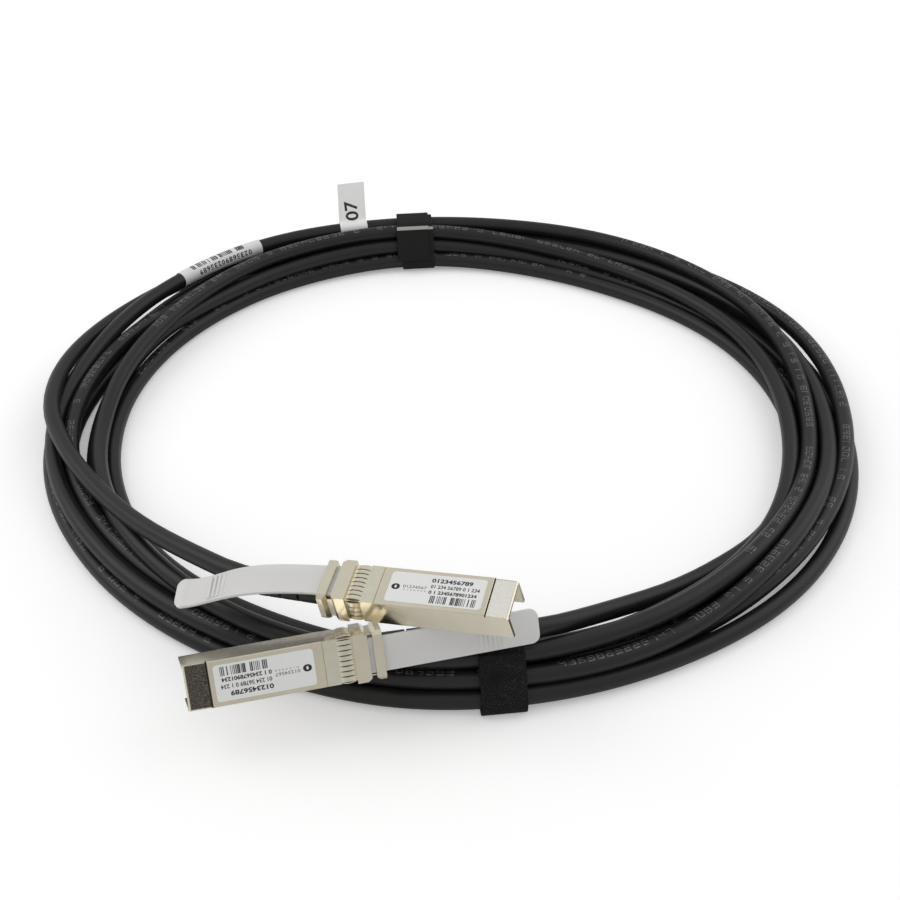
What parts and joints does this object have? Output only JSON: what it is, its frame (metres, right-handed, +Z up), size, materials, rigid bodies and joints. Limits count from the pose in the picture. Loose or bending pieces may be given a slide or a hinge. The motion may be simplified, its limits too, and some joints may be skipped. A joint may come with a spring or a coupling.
{
  "type": "direct attach copper cable",
  "caption": "Coiled round copper cable assembly with a pluggable die-cast module, strain relief and pull tab at each end, held by hook-and-loop ties.",
  "frame": {"origin": "centre of the common box of the two modules with their pull tabs and strain reliefs; the ring of cable lies below and behind it", "axes": "+Z up from the surface that the ring lies on, +X to the right along the front of the ring, +Y from the modules towards the ring's centre"},
  "size_m": [0.2913, 0.2896, 0.0428],
  "materials": {
    "die_cast": "satin nickel plate over fine-grained die-cast zinc",
    "spring_steel": "bright plated spring sheet",
    "circuit_board": "solder mask, satin",
    "gold_pads": "bright hard gold",
    "core_insulation": "foamed insulation, matt",
    "crimp_metal": "satin",
    "boot_rubber": "matt moulded",
    "slider_steel": "satin",
    "module_label": "satin printed film",
    "tab_nylon": "translucent satin nylon",
    "cable_jacket": "matt extruded jacket",
    "woven_tie": "woven hook-and-loop strap",
    "film_label": "satin film"
  },
  "bodies": {
    "assembly": {"lower_shell_a": "die_cast", "upper_shell_a": "die_cast", "collar_a": "spring_steel", "card_a": "circuit_board", "contacts_a": "gold_pads", "cores_a": "core_insulation", "ferrule_a": "crimp_metal", "boot_a": "boot_rubber", "spring_a": "slider_steel", "screws_a": "slider_steel", "label_a": "module_label", "lower_shell_b": "die_cast", "upper_shell_b": "die_cast", "collar_b": "spring_steel", "card_b": "circuit_board", "contacts_b": "gold_pads", "cores_b": "core_insulation", "ferrule_b": "crimp_metal", "boot_b": "boot_rubber", "spring_b": "slider_steel", "screws_b": "slider_steel", "label_b": "module_label", "cable_tail_a": "cable_jacket", "cable_tail_b": "cable_jacket", "cable_coil": "cable_jacket", "front_tie": "woven_tie", "back_tie": "woven_tie", "wrap_label": "film_label", "length_flag": "film_label"},
    "pull_a": {"pull_tab_a": "tab_nylon", "slider_a": "slider_steel"},
    "pull_b": {"pull_tab_b": "tab_nylon", "slider_b": "slider_steel"}
  },
  "joints": [
    {"name": "unlatch_a", "type": "slide", "parent": "assembly", "child": "pull_a", "axis": [0.974, 0.2249, 0.0262], "range_m": [0, 0.0025], "stiffness_N_per_m": 800, "springref_m": -0.002},
    {"name": "unlatch_b", "type": "slide", "parent": "assembly", "child": "pull_b", "axis": [-0.9576, 0.2656, -0.1115], "range_m": [0, 0.0025], "stiffness_N_per_m": 800, "springref_m": -0.002}
  ]
}
